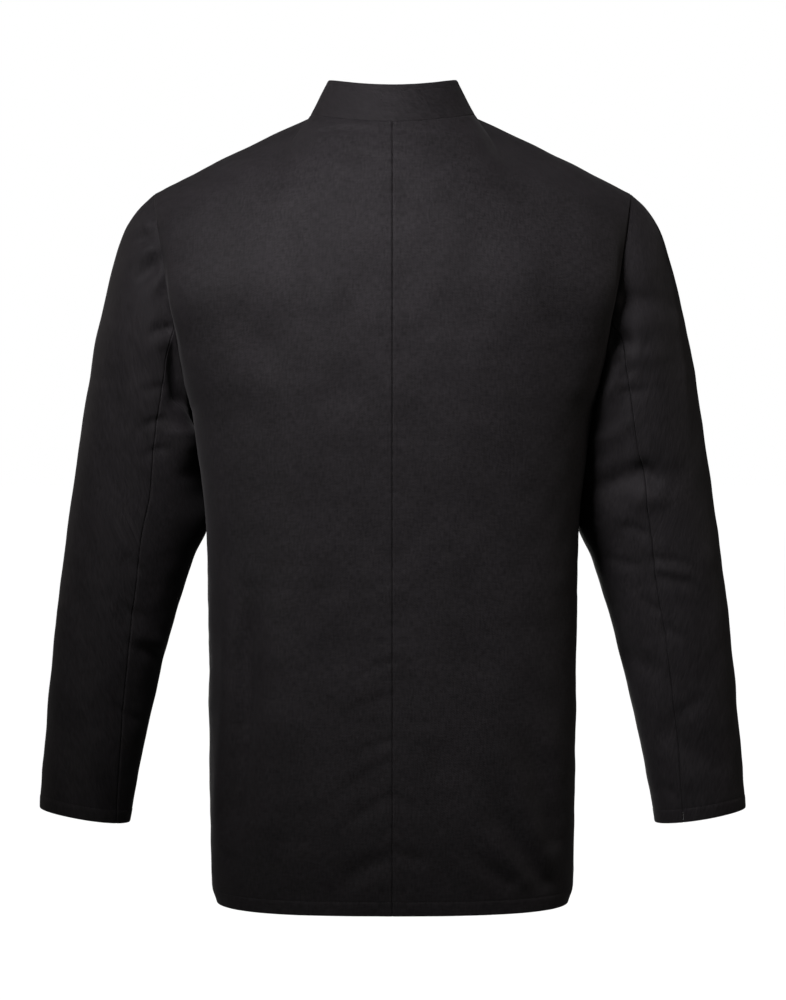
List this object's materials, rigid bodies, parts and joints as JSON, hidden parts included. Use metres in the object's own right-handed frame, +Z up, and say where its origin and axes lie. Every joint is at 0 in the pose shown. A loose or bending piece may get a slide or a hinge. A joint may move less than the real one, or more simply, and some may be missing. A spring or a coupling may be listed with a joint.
{
  "type": "chef jacket",
  "caption": "Long-sleeved black chef jacket with a stand collar, a centre back seam and a double-breasted front, filled out as worn with nobody in it.",
  "frame": {"origin": "middle of the neck opening at the height of the collar seam, where the wearer's neck and shoulders hold the jacket", "axes": "+Z up, the front of the jacket faces -Y and its back +Y, +X is the wearer's left"},
  "size_m": [0.6908, 0.2606, 0.7911],
  "materials": {
    "cloth": "matt black polycotton with a fine weave",
    "button": "satin black"
  },
  "bodies": {
    "root": {"back_left": "cloth", "back_right": "cloth", "front_left_over": "cloth", "front_right_under": "cloth", "collar": "cloth", "sleeve_left_top": "cloth", "sleeve_left_under": "cloth", "sleeve_right_top": "cloth", "sleeve_right_under": "cloth", "button_left_1": "button", "button_left_2": "button", "button_left_3": "button", "button_left_4": "button", "button_left_5": "button", "button_right_1": "button", "button_right_2": "button", "button_right_3": "button", "button_right_4": "button", "button_right_5": "button"}
  },
  "joints": []
}
